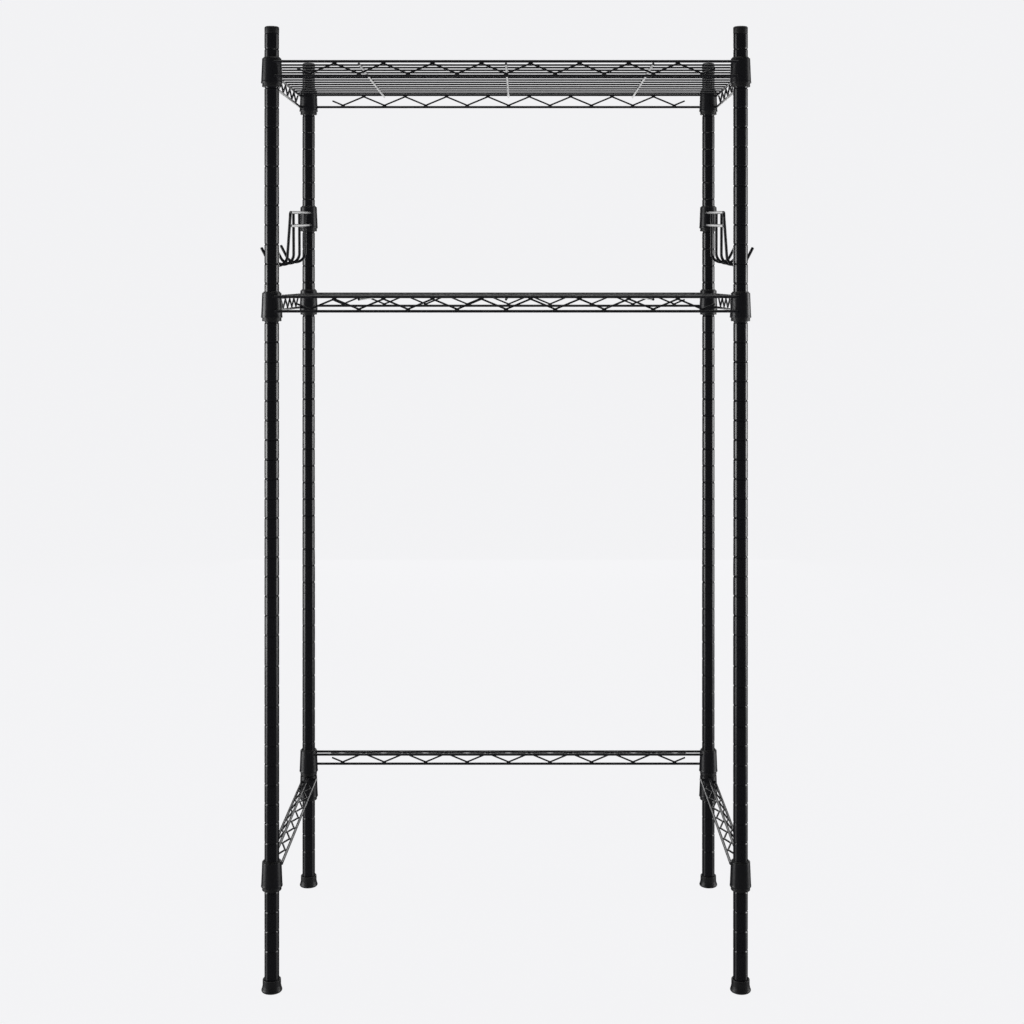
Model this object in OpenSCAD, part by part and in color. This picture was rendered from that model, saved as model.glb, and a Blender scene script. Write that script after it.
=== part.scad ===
// Over the toilet storage rack: four grooved posts, two wire shelves on tapered sleeves,
// two hook racks, a back brace and two side braces, on screw-in levelling feet.
// The origin is on the floor, under the middle of the rack. The front faces -Y.

/* [Overall] */
// Distance between the post centres, left to right
post_span_x = 610; // [480:5:900]
// Distance between the post centres, front to back
post_span_y = 350; // [280:5:500]
// Height from the floor to the top of the post caps
rack_h = 1255; // [1230:1:1700]

/* [Posts] */
// Outer diameter of the posts
post_d = 19; // [15:0.5:26]
// Wall of the post tubes
post_wall = 1.2; // [0.9:0.1:2]
// Height of the joint between the lower and the upper tube
joint_z = 447; // [320:1:560]
// Distance from one groove to the next
groove_pitch = 25.4; // [20:0.1:32]
// Width of a groove
groove_w = 2.6; // [2:0.1:4]
// Depth of a groove
groove_depth = 0.7; // [0.3:0.05:0.8]
// Height of the part of a cap that shows above its post
cap_h = 9.8; // [5:0.1:16]

/* [Levels] */
// Height of the middle of the top shelf's collars
top_shelf_z = 1197; // [1100:1:1200]
// Grooves from the top shelf down to the middle shelf
mid_shelf_steps = 12; // [10:1:14]
// Grooves from the top shelf down to the hook racks
hook_rack_steps = 7; // [5:1:7]
// Height of the middle of the side braces' collars
side_brace_z = 152.5; // [120:0.5:200]

/* [Collars and sleeves] */
// Height of a collar
collar_h = 32.5; // [26:0.5:40]
// Wall of a collar
collar_wall = 1.4; // [1.1:0.1:2.5]
// Length of sleeve that shows under a collar
sleeve_skirt = 4.5; // [3:0.5:8]
// Length of sleeve that shows above a collar
sleeve_ears = 1.5; // [1:0.5:8]
// Thickness of a sleeve at its lower end
sleeve_thick = 3; // [2.4:0.1:3.6]
// Thickness of a sleeve at its upper end
sleeve_thin = 1.3; // [0.8:0.1:1.6]
// Gap between a sleeve and the collar that seats on it
seat_gap = 0.3; // [0.2:0.05:0.5]

/* [Wires] */
// Diameter of the frame wires
frame_wire_d = 3.6; // [2.5:0.1:4.5]
// Diameter of the zigzag wires
snake_wire_d = 2.5; // [1.6:0.1:3]
// Diameter of the shelf surface wires
mat_wire_d = 2.5; // [1.6:0.1:3]
// Diameter of the ribs under the shelf surface
rib_wire_d = 3.2; // [2:0.1:4]
// Distance of the frame wires outside the line of the posts
frame_out = 12; // [10:0.5:12.5]
// Height of the upper frame wires above the middle of a collar
wire_rise = 11; // [8:0.5:12]
// Distance between the upper and the lower frame wires
truss_h = 18.6; // [14:0.2:22]
// Distance between the upper and the lower side wires
side_truss_h = 17; // [13:0.2:19]
// Distance between the surface wires
mat_pitch = 26; // [18:0.1:35]
// Length of one zigzag along the front and the back
long_snake_pitch = 63.5; // [45:0.5:80]
// Length of one zigzag along the sides
side_snake_pitch = 41; // [30:0.5:60]
// Zigzags from the middle rib to the ribs beside it
rib_steps = 3; // [1:1:3]

/* [Braces] */
// Distance between the two upper wires of the back brace
back_brace_w = 15; // [12:0.5:18]
// Height of the middle wire of a side brace above its outer wires
ridge_rise = 3; // [2:0.1:3.5]
// Distance of a side brace's outer wire from the line of the posts
brace_out = 9.5; // [8:0.5:12.5]
// Drop of a side brace's outer wire below its inner wire
brace_sag = 3; // [1:0.5:6]

/* [Hook racks] */
// Diameter of the rack and hook wires
hook_wire_d = 4.1; // [2.8:0.1:4.5]
// Distance from the post centre to the front hook
rack_reach = 220; // [190:1:260]
// Distance from one hook to the next
hook_pitch = 58; // [45:1:60]
// Hooks on each rack, with the one that ends the top wire
hook_count = 4; // [2:1:4]
// Height of the top wire above the middle of its collar
rack_rise = 7.6; // [5:0.1:9]
// Distance between the two rack wires
rack_wire_gap = 18.6; // [14:0.2:20]
// Distance of the rack wires inside the line of the posts
rack_wire_in = 4.5; // [3:0.5:8]
// Height from the bottom of a hook to the top wire
hook_drop = 74; // [55:1:80]
// Bend radius of a hook
hook_bend_r = 14.5; // [10:0.5:18]
// Length of the straight tip of a hook
hook_tip = 19; // [10:1:24]
// Lean of the tip of a hook, away from upright
hook_lean = 27; // [10:1:40]
// Droop of a rack under its own weight
rack_droop = 2.2; // [0:0.1:3]

/* [Feet] */
// Diameter of the flange of a foot
foot_d = 27; // [24:0.5:36]
// Height of a foot
foot_h = 16; // [14:0.5:24]
// Thickness of the flange of a foot
foot_flange = 4; // [3:0.5:5]
// Height of the lower end of the posts
post_foot_z = 6; // [6:0.5:8]
// Diameter of the screw of a foot
foot_screw_d = 7.8; // [6:0.1:9]
// Length of the screw of a foot
foot_screw_len = 36; // [28:1:60]

/* [Hidden] */
$fn = 48;
wire_fn = 24;
eps = 0.01;

// Small fits and finishes
slip = 0.05;
thread_gap = 0.1;
foot_gap = 0.3;
weld = 0.1;
end_chamfer = 0.5;
bend_tuck = 3;
bend_thin = 0.08;
edge = 0.7;

// Posts
post_r = post_d / 2;
bore_r = post_r - post_wall;
tube_top_z = rack_h - cap_h;
groove_clear = 14;

// Sleeves and collars, measured from the middle of the collar
rib_rise = 3;
rib_h = 1.8;
rib_depth = groove_depth - 0.1;
split_angle = 6;
sleeve_bottom = -collar_h / 2 - sleeve_skirt;
sleeve_top = collar_h / 2 + sleeve_ears;
sleeve_in_r = post_r + slip;
sleeve_low_r = sleeve_in_r + sleeve_thick;
sleeve_high_r = sleeve_in_r + sleeve_thin;
sleeve_slope = (sleeve_high_r - sleeve_low_r) / (sleeve_top - sleeve_bottom);
function sleeve_r(z) = sleeve_low_r + (z - sleeve_bottom) * sleeve_slope;
function collar_bore_r(z) = sleeve_r(z) + seat_gap;
function collar_r(z) = collar_bore_r(z) + collar_wall;

// Levels of the collars
shelf_groove_z = top_shelf_z + rib_rise;
mid_shelf_z = top_shelf_z - mid_shelf_steps * groove_pitch;
hook_rack_z = top_shelf_z - hook_rack_steps * groove_pitch;
back_brace_z = side_brace_z + collar_h + sleeve_skirt + sleeve_ears;
brace_groove_z = side_brace_z + rib_rise;
back_groove_z = back_brace_z + rib_rise;

// Groove heights in a stretch of tube, in step with a groove at a known height
groove_reach = 80;
function grooves(from, to, known) = [
    for (k = [-groove_reach:groove_reach])
        let (z = known + k * groove_pitch)
        if (z > from && z < to) z
];
upper_grooves = grooves(joint_z + groove_clear, tube_top_z - groove_clear, shelf_groove_z);
foot_grooves = grooves(foot_h + 2 * groove_clear, brace_groove_z + eps, brace_groove_z);
lower_grooves = grooves(back_groove_z - eps, joint_z - groove_clear, back_groove_z);

// Wire places, measured from the middle of the collar
frame_r = frame_wire_d / 2;
snake_r = snake_wire_d / 2;
lower_rise = wire_rise - truss_h;
snake_off = frame_r + snake_r - weld;
snake_bend_r = 3;
wire_end_in = 5;
long_y = post_span_y / 2 + frame_out;
side_x = post_span_x / 2 + frame_out;
long_half = post_span_x / 2;
side_half = post_span_y / 2;
side_rise = wire_rise - frame_wire_d + weld;
collar_max_r = collar_r(-collar_h / 2);
mat_r = mat_wire_d / 2;
mat_z = side_rise + frame_r + mat_r - weld;
mat_room = post_span_y - 2 * (collar_max_r + mat_r);
mat_count = floor(mat_room / mat_pitch) + 1;
mat_reach = side_x + frame_r / 2;
rib_z = wire_rise - frame_r - rib_wire_d / 2 + weld;

// Hook racks
hook_r = hook_wire_d / 2;
hook_out = hook_wire_d - weld;
corner_bend_r = 6;
rack_front_y = post_span_y / 2 - rack_reach;

// Feet
foot_bore_r = post_r + foot_gap;
foot_rim_r = foot_bore_r + 1.5;
foot_floor = foot_flange + 1;
screw_bottom = 3;
foot_nut_h = 15;
foot_screw_r = foot_screw_d / 2;

// Post joints
plug_r = bore_r - slip;
stud_r = 4.9;
stud_plug_h = 22;
stud_len = 18;
joint_nut_h = 24;

SIDES = [-1, 1];

// Moves a piece to one post: side is -1 left or 1 right, depth is -1 front or 1 back
module at_post(side, depth, z = 0) {
    translate([side * post_span_x / 2, depth * post_span_y / 2, z]) children();
}

module at_all_posts(z = 0) {
    for (side = SIDES)
        for (depth = SIDES)
            at_post(side, depth, z) children();
}

// Straight wires that lie along one axis
module wire_x(from, to, d) {
    translate([from, 0, 0]) rotate([0, 90, 0]) cylinder(h = to - from, d = d, $fn = wire_fn);
}

module wire_y(from, to, d) {
    translate([0, from, 0]) rotate([-90, 0, 0]) cylinder(h = to - from, d = d, $fn = wire_fn);
}

// A length of wire between two points of the XZ plane
module wire_between(a, b, d) {
    step = b - a;
    translate([a[0], 0, a[1]])
        rotate([0, atan2(step[0], step[1]), 0])
            cylinder(h = norm(step), d = d, $fn = wire_fn);
}

// A bend in the XZ plane, round centre c, from one angle to another, measured from +X to +Z.
// Its ends are a hair thinner than the straight wires and run a little way inside them.
module wire_bend(c, bend_r, from, to, d) {
    translate([c[0], 0, c[1]])
        rotate([90, 0, 0])
            rotate([0, 0, from - bend_tuck])
                rotate_extrude(angle = to - from + 2 * bend_tuck)
                    translate([bend_r, 0]) circle(d = d - bend_thin, $fn = wire_fn);
}

// The outside of a collar as a plain cone, to trim the wires that are welded to it
module collar_cone() {
    translate([0, 0, -collar_h / 2])
        cylinder(h = collar_h, r1 = collar_r(-collar_h / 2), r2 = collar_r(collar_h / 2));
}

// A tube with rolled grooves
module grooved_tube(bottom, top, groove_zs) {
    outline = concat(
        [[bore_r, bottom], [post_r - end_chamfer, bottom], [post_r, bottom + end_chamfer]],
        [for (z = groove_zs) each [
            [post_r, z - groove_w / 2],
            [post_r - groove_depth, z - groove_w / 4],
            [post_r - groove_depth, z + groove_w / 4],
            [post_r, z + groove_w / 2]
        ]],
        [[post_r, top - end_chamfer], [post_r - end_chamfer, top], [bore_r, top]]
    );
    rotate_extrude() polygon(outline);
}

module upper_post(side, depth) {
    color("#1b1b1e") at_post(side, depth)
        grooved_tube(joint_z, tube_top_z, upper_grooves);
}

module lower_post(side, depth) {
    color("#1b1b1e") at_post(side, depth)
        grooved_tube(post_foot_z, joint_z, concat(foot_grooves, lower_grooves));
}

// Plastic plugs that close the tops of the posts
module post_caps() {
    stem_len = 12;
    crown = 0.6;
    color("#161618") at_all_posts()
        rotate_extrude() polygon([
            [0, tube_top_z - stem_len],
            [plug_r - edge, tube_top_z - stem_len],
            [plug_r, tube_top_z - stem_len + edge],
            [plug_r, tube_top_z],
            [post_r - end_chamfer, tube_top_z],
            [post_r, tube_top_z + end_chamfer],
            [post_r, rack_h - crown - edge],
            [post_r - edge, rack_h - crown],
            [0, rack_h]
        ]);
}

// Screwed plugs that join each lower tube to its upper tube
module joint_studs() {
    color("#8a8d90") at_all_posts(joint_z)
        rotate_extrude() polygon([
            [0, -stud_plug_h],
            [plug_r, -stud_plug_h],
            [plug_r, 0],
            [stud_r, 0],
            [stud_r, stud_len - edge],
            [stud_r - edge, stud_len],
            [0, stud_len]
        ]);
}

module joint_nuts() {
    color("#8a8d90") at_all_posts(joint_z)
        difference() {
            cylinder(h = joint_nut_h, r = plug_r);
            translate([0, 0, -eps]) cylinder(h = joint_nut_h + 2 * eps, r = stud_r + thread_gap);
        }
}

module foot_nuts() {
    color("#8a8d90") at_all_posts(post_foot_z)
        difference() {
            cylinder(h = foot_nut_h, r = plug_r);
            translate([0, 0, -eps])
                cylinder(h = foot_nut_h + 2 * eps, r = foot_screw_r + thread_gap);
        }
}

// A flared plastic foot that reaches up round the end of its post
module foot(side, depth) {
    neck_r = foot_d / 2 - 0.9;
    color("#141416") at_post(side, depth)
        rotate_extrude() polygon([
            [0, 0],
            [foot_d / 2 - 1, 0],
            [foot_d / 2, 1],
            [foot_d / 2, foot_flange - 0.8],
            [neck_r, foot_flange],
            [foot_rim_r, foot_h],
            [foot_bore_r, foot_h],
            [foot_bore_r, foot_floor],
            [foot_screw_r + slip, foot_floor],
            [foot_screw_r + slip, screw_bottom],
            [0, screw_bottom]
        ]);
}

module foot_screw(side, depth) {
    color("#8a8d90") at_post(side, depth, screw_bottom)
        cylinder(h = foot_screw_len, r = foot_screw_r);
}

// One half of a split sleeve, with the rib that drops into a groove of the post
module sleeve_half() {
    rib_low = rib_rise - rib_h / 2;
    rib_high = rib_rise + rib_h / 2;
    rotate([0, 0, split_angle / 2])
        rotate_extrude(angle = 180 - split_angle)
            polygon([
                [sleeve_in_r, sleeve_bottom],
                [sleeve_low_r, sleeve_bottom],
                [sleeve_high_r, sleeve_top],
                [sleeve_in_r, sleeve_top],
                [sleeve_in_r, rib_high],
                [sleeve_in_r - rib_depth, rib_high - rib_depth / 2],
                [sleeve_in_r - rib_depth, rib_low + rib_depth / 2],
                [sleeve_in_r, rib_low]
            ]);
}

module sleeve_pair() {
    color("#101012") for (turn = [0, 180]) rotate([0, 0, turn]) sleeve_half();
}

module sleeve_pairs(z, depths) {
    for (side = SIDES)
        for (depth = depths)
            at_post(side, depth, z) sleeve_pair();
}

module top_shelf_sleeves() { sleeve_pairs(top_shelf_z, SIDES); }
module mid_shelf_sleeves() { sleeve_pairs(mid_shelf_z, SIDES); }
module hook_rack_sleeves() { sleeve_pairs(hook_rack_z, [1]); }
module back_brace_sleeves() { sleeve_pairs(back_brace_z, [1]); }
module side_brace_sleeves() { sleeve_pairs(side_brace_z, SIDES); }

// A stamped collar, wider at the bottom, that drops onto a sleeve
module collar() {
    low = -collar_h / 2;
    high = collar_h / 2;
    color("#1d1d20")
        rotate_extrude() polygon([
            [collar_bore_r(low), low],
            [collar_r(low) - edge, low],
            [collar_r(low + edge), low + edge],
            [collar_r(high - edge), high - edge],
            [collar_r(high) - edge, high],
            [collar_bore_r(high), high]
        ]);
}

// Slope of the straight parts of a zigzag, found by a few rounds of correction for its bends
function snake_lean(rise, run, rounds = 6) = rounds == 0
    ? atan2(rise, run)
    : let (lean = snake_lean(rise, run, rounds - 1))
        atan2(rise + 2 * snake_bend_r * (1 / cos(lean) - 1), run);

// A zigzag wire along X, in the XZ plane, between two heights, with a round bend at each turn.
// It begins and ends above its outermost low turns, part of the way up: tail is 0.5 or 1.
module snake(low_z, high_z, pitch, half_len, tail) {
    run = pitch / 2;
    room = half_len - collar_max_r - tail * run - 1;
    lows = floor(room / pitch);
    lean = snake_lean(high_z - low_z, run);
    mid_z = (low_z + high_z) / 2;
    bend_rise = snake_bend_r / cos(lean) - run / 2 * tan(lean);
    for (k = [-lows:lows])
        translate([k * pitch, 0, mid_z]) {
            wire_bend([0, bend_rise], snake_bend_r, 270 - lean, 270 + lean, snake_wire_d);
            for (way = SIDES)
                if (k * way < lows)
                    snake_arm(way, lean, run);
                else
                    snake_tail(way, lean, run, tail);
        }
    for (k = [-lows:lows - 1])
        translate([k * pitch + run, 0, mid_z])
            wire_bend([0, -bend_rise], snake_bend_r, 90 - lean, 90 + lean, snake_wire_d);
}

// A straight part, from one bend to the next
module snake_arm(way, lean, run) {
    trim = snake_bend_r * sin(lean);
    low = [way * trim, (trim - run / 2) * tan(lean)];
    high = [way * (run - trim), (run / 2 - trim) * tan(lean)];
    wire_between(low, high, snake_wire_d);
}

// A straight part that ends in the air or against the upper wire
module snake_tail(way, lean, run, tail) {
    trim = snake_bend_r * sin(lean);
    stop = run * tail - (tail == 1 ? trim : 0);
    low = [way * trim, (trim - run / 2) * tan(lean)];
    high = [way * stop, (stop - run / 2) * tan(lean)];
    wire_between(low, high, snake_wire_d);
}

// The two frame wires of one long side of a shelf, trimmed where they meet the collars
module long_wires(z, depth) {
    reach = long_half - wire_end_in;
    color("#17171a") translate([0, 0, z])
        for (rise = [wire_rise, lower_rise])
            difference() {
                translate([0, depth * long_y, rise]) wire_x(-reach, reach, frame_wire_d);
                for (side = SIDES)
                    at_post(side, depth) collar_cone();
            }
}

module side_wires(z, side) {
    reach = side_half - wire_end_in;
    color("#17171a") translate([0, 0, z])
        for (rise = [side_rise, side_rise - side_truss_h])
            difference() {
                translate([side * side_x, 0, rise]) wire_y(-reach, reach, frame_wire_d);
                for (depth = SIDES)
                    at_post(side, depth) collar_cone();
            }
}

module shelf_snakes(z) {
    color("#17171a") translate([0, 0, z]) {
        for (depth = SIDES)
            translate([0, depth * long_y, 0])
                snake(lower_rise + snake_off, wire_rise - snake_off,
                    long_snake_pitch, long_half, 0.5);
        for (side = SIDES)
            translate([side * side_x, 0, side_rise])
                rotate([0, 0, 90])
                    snake(snake_off - side_truss_h, -snake_off,
                        side_snake_pitch, side_half, 1);
    }
}

// The wires of the shelf surface, welded on top of the side wires
module shelf_mat(z) {
    color("#17171a") translate([0, 0, z + mat_z])
        for (k = [0:mat_count - 1])
            translate([0, (k - (mat_count - 1) / 2) * mat_pitch, 0])
                wire_x(-mat_reach, mat_reach, mat_wire_d);
}

module shelf_ribs(z) {
    color("#17171a") translate([0, 0, z + rib_z])
        for (k = [-1:1])
            translate([k * rib_steps * long_snake_pitch, 0, 0])
                wire_y(-long_y, long_y, rib_wire_d);
}

module shelf_collars(z) { at_all_posts(z) collar(); }

// The top wire of a rack with its front hook, and the lower wire, drawn for the right side
module rack_wires(side) {
    color("#17171a") rack_place(side)
        difference() {
            union() {
                rack_top_wire();
                translate([0, 0, rack_rise - rack_wire_gap])
                    wire_y(-rack_reach, 0, hook_wire_d);
            }
            rotate([-rack_droop, 0, 0]) translate([rack_wire_in, 0, 0]) collar_cone();
        }
}

// Puts a rack in place: the rack runs from its post towards the front, and tips down there
module rack_place(side) {
    at_post(side, 1, hook_rack_z)
        mirror([side > 0 ? 0 : 1, 0, 0])
            translate([-rack_wire_in, 0, 0])
                rotate([rack_droop, 0, 0]) children();
}

module rack_top_wire() {
    translate([0, 0, rack_rise]) wire_y(-rack_reach + corner_bend_r, 0, hook_wire_d);
    translate([0, -rack_reach + corner_bend_r, rack_rise - corner_bend_r])
        rotate([0, 0, 90])
            wire_bend([0, 0], corner_bend_r, 90, 180, hook_wire_d);
    translate([0, -rack_reach, 0]) hook(0, rack_rise - corner_bend_r);
}

// A hook: a straight drop, a round bend and a leaning tip, from a given place and height.
// The front hook starts in line with the rack and leans out to hang level with the others.
module hook(start_x, top) {
    turn_z = rack_rise - hook_drop + hook_bend_r;
    tip_start = [
        hook_out + hook_bend_r * (1 + cos(hook_lean)),
        turn_z - hook_bend_r * sin(hook_lean)
    ];
    tip_end = [
        tip_start[0] + hook_tip * sin(hook_lean),
        tip_start[1] + hook_tip * cos(hook_lean)
    ];
    wire_between([hook_out, turn_z], [start_x, top], hook_wire_d);
    wire_bend([hook_out + hook_bend_r, turn_z], hook_bend_r, 180, 360 - hook_lean, hook_wire_d);
    wire_between(tip_start, tip_end, hook_wire_d);
}

module rack_hooks(side) {
    color("#17171a") rack_place(side)
        for (k = [1:hook_count - 1])
            translate([0, -rack_reach + k * hook_pitch, 0]) hook(hook_out, rack_rise);
}

module rack_collar(side) { at_post(side, 1, hook_rack_z) collar(); }

// The back brace: a truss behind the line of the back posts and one more wire before it
module back_brace_wires() {
    reach = long_half - wire_end_in;
    places = [
        [back_brace_w / 2, wire_rise],
        [back_brace_w / 2, lower_rise],
        [-back_brace_w / 2, wire_rise]
    ];
    color("#17171a") translate([0, 0, back_brace_z])
        for (place = places)
            difference() {
                translate([0, post_span_y / 2 + place[0], place[1]])
                    wire_x(-reach, reach, frame_wire_d);
                for (side = SIDES)
                    at_post(side, 1) collar_cone();
            }
}

module back_brace_snakes() {
    half_gap = back_brace_w / 2 - snake_off;
    color("#17171a") translate([0, post_span_y / 2, back_brace_z]) {
        translate([0, back_brace_w / 2, 0])
            snake(lower_rise + snake_off, wire_rise - snake_off,
                long_snake_pitch, long_half, 0.5);
        translate([0, 0, wire_rise])
            rotate([-90, 0, 0])
                snake(-half_gap, half_gap, long_snake_pitch, long_half, 0.5);
    }
}

module back_brace_collars() {
    for (side = SIDES) at_post(side, 1, back_brace_z) collar();
}

// A side brace: an inner wire, an outer wire and a slightly higher middle wire
module side_brace_wires(side) {
    reach = side_half - wire_end_in;
    places = [
        [-frame_out, wire_rise],
        [0, wire_rise + ridge_rise],
        [brace_out, wire_rise - brace_sag]
    ];
    color("#17171a") translate([0, 0, side_brace_z])
        for (place = places)
            difference() {
                translate([side * (post_span_x / 2 + place[0]), 0, place[1]])
                    wire_y(-reach, reach, frame_wire_d);
                for (depth = SIDES)
                    at_post(side, depth) collar_cone();
            }
}

// Two zigzags, one on each slope, up to the middle wire
module side_brace_snakes(side) {
    color("#17171a") translate([side * post_span_x / 2, 0, side_brace_z + wire_rise]) {
        brace_slope(-side * frame_out, 0);
        brace_slope(side * brace_out, brace_sag);
    }
}

// The zigzag of one slope, from a wire at a given place and drop up to the middle wire
module brace_slope(start_x, drop) {
    rise = ridge_rise + drop;
    span = norm([rise, start_x]);
    translate([start_x, 0, -drop])
        rotate([0, atan2(-start_x, rise), 0])
            rotate([0, 0, 90])
                snake(snake_off, span - snake_off, side_snake_pitch, side_half, 1);
}

module side_brace_collars(side) {
    for (depth = SIDES) at_post(side, depth, side_brace_z) collar();
}

upper_post(-1, -1);  // upper_post_front_left
upper_post(1, -1);  // upper_post_front_right
upper_post(-1, 1);  // upper_post_back_left
upper_post(1, 1);  // upper_post_back_right
lower_post(-1, -1);  // lower_post_front_left
lower_post(1, -1);  // lower_post_front_right
lower_post(-1, 1);  // lower_post_back_left
lower_post(1, 1);  // lower_post_back_right
post_caps();
joint_studs();
joint_nuts();
foot_nuts();
foot(-1, -1);  // foot_front_left
foot(1, -1);  // foot_front_right
foot(-1, 1);  // foot_back_left
foot(1, 1);  // foot_back_right
foot_screw(-1, -1);  // foot_screw_front_left
foot_screw(1, -1);  // foot_screw_front_right
foot_screw(-1, 1);  // foot_screw_back_left
foot_screw(1, 1);  // foot_screw_back_right
top_shelf_sleeves();
mid_shelf_sleeves();
hook_rack_sleeves();
back_brace_sleeves();
side_brace_sleeves();
shelf_collars(top_shelf_z);  // top_shelf_collars
long_wires(top_shelf_z, -1);  // top_shelf_front_wires
long_wires(top_shelf_z, 1);  // top_shelf_back_wires
side_wires(top_shelf_z, -1);  // top_shelf_left_wires
side_wires(top_shelf_z, 1);  // top_shelf_right_wires
shelf_snakes(top_shelf_z);  // top_shelf_snakes
shelf_mat(top_shelf_z);  // top_shelf_mat
shelf_ribs(top_shelf_z);  // top_shelf_ribs
shelf_collars(mid_shelf_z);  // mid_shelf_collars
long_wires(mid_shelf_z, -1);  // mid_shelf_front_wires
long_wires(mid_shelf_z, 1);  // mid_shelf_back_wires
side_wires(mid_shelf_z, -1);  // mid_shelf_left_wires
side_wires(mid_shelf_z, 1);  // mid_shelf_right_wires
shelf_snakes(mid_shelf_z);  // mid_shelf_snakes
shelf_mat(mid_shelf_z);  // mid_shelf_mat
shelf_ribs(mid_shelf_z);  // mid_shelf_ribs
rack_collar(-1);  // left_rack_collar
rack_wires(-1);  // left_rack_wires
rack_hooks(-1);  // left_rack_hooks
rack_collar(1);  // right_rack_collar
rack_wires(1);  // right_rack_wires
rack_hooks(1);  // right_rack_hooks
back_brace_collars();
back_brace_wires();
back_brace_snakes();
side_brace_collars(-1);  // left_brace_collars
side_brace_wires(-1);  // left_brace_wires
side_brace_snakes(-1);  // left_brace_snakes
side_brace_collars(1);  // right_brace_collars
side_brace_wires(1);  // right_brace_wires
side_brace_snakes(1);  // right_brace_snakes
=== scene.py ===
import math
import random

import bpy
import bmesh
from mathutils import Matrix, Vector


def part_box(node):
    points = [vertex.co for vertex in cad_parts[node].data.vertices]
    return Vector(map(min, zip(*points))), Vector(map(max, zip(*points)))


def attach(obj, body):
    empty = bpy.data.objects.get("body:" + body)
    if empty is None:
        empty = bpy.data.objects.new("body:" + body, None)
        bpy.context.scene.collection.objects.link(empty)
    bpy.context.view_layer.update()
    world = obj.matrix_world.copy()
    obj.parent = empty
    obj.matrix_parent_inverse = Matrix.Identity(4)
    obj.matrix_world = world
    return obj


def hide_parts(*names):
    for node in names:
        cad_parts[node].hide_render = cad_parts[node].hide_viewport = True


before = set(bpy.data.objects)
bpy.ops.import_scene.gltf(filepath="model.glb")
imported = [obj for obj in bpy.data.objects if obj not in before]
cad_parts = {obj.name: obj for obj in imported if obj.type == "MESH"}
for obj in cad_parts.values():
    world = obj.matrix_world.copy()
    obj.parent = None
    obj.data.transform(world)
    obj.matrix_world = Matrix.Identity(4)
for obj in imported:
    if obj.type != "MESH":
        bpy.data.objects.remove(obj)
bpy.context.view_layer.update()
random.seed(7)
mm = 0.001
sharpFrom = math.radians(38)
# how many flat sides make each thing look round
sides = dict(post=80, cap=64, collar=72, halfSleeve=40, foot=72, edgeWire=16, snake=14, mat=12, rack=18)


# mesh helpers: everything is drawn in millimetres and stored in metres

def addObject(name, bm, material, body, replaced):
    bmesh.ops.recalc_face_normals(bm, faces=bm.faces)
    mesh = bpy.data.meshes.new(name)
    bm.to_mesh(mesh)
    bm.free()
    for face in mesh.polygons:
        face.use_smooth = True
    obj = bpy.data.objects.new(name, mesh)
    bpy.context.scene.collection.objects.link(obj)
    mesh.materials.append(material)
    mesh.set_sharp_from_angle(angle=sharpFrom)
    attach(obj, body)
    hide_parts(*replaced)


def roundedCorners(points, radius, steps):
    # rounds every inner corner of a run of 3D points
    out = [Vector(points[0])]
    for before, here, after in zip(points, points[1:], points[2:]):
        here = Vector(here)
        inward = (Vector(before) - here).normalized()
        onward = (Vector(after) - here).normalized()
        half = inward.angle(onward) / 2
        if half > math.radians(89):
            out.append(here)
            continue
        reach = radius / math.tan(half)
        centre = here + (inward + onward).normalized() * (radius / math.sin(half))
        start = here + inward * reach - centre
        stop = here + onward * reach - centre
        turn = start.angle(stop)
        for k in range(steps + 1):
            t = k / steps
            a = math.sin((1 - t) * turn) / math.sin(turn)
            b = math.sin(t * turn) / math.sin(turn)
            out.append(centre + start * a + stop * b)
    out.append(Vector(points[-1]))
    return out


def sweepWire(bm, points, radius, count, domed):
    # a round wire along a run of points, with softly domed ends
    points = [Vector(p) for p in points]
    tangents = []
    for i in range(len(points)):
        a = points[max(i - 1, 0)]
        b = points[min(i + 1, len(points) - 1)]
        tangents.append((b - a).normalized())
    up = Vector((0, 0, 1)) if abs(tangents[0].z) < 0.9 else Vector((1, 0, 0))
    normal = tangents[0].cross(up).normalized()
    # each end closes through three smaller rings
    domeBends = [math.radians(angle) for angle in (20, 50, 80)]
    spots = []
    if domed:
        for bend in domeBends:
            back = tangents[0] * radius * 0.5 * math.cos(bend)
            spots.append((points[0] - back, tangents[0], radius * math.sin(bend)))
    spots.append((points[0], tangents[0], radius))
    for point, tangent in zip(points[1:], tangents[1:]):
        spots.append((point, tangent, radius))
    if domed:
        for bend in reversed(domeBends):
            forth = tangents[-1] * radius * 0.5 * math.cos(bend)
            spots.append((points[-1] + forth, tangents[-1], radius * math.sin(bend)))
    rings = []
    for point, tangent, size in spots:
        normal = (normal - tangent * normal.dot(tangent)).normalized()
        side = tangent.cross(normal)
        ring = []
        for k in range(count):
            angle = 2 * math.pi * k / count
            spot = point + (normal * math.cos(angle) + side * math.sin(angle)) * size
            ring.append(bm.verts.new(spot * mm))
        rings.append(ring)
    for low, high in zip(rings, rings[1:]):
        for k in range(count):
            bm.faces.new((low[k], low[(k + 1) % count], high[(k + 1) % count], high[k]))
    bm.faces.new(rings[0][::-1])
    bm.faces.new(rings[-1])


bead = dict(
    turn=(3.4, 1.15, 1.0), matEnd=(1.9, 1.9, 0.75), ribTop=(1.7, 1.5, 0.7),
    barEnd=(2.6, 1.9, 2.2), hookBack=(1.6, 2.4, 2.2), collarLong=4.2, collarWide=1.12, collarTall=1.18,
    turnOff=0.9, matOff=0.75, ribOff=0.85,
)


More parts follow.
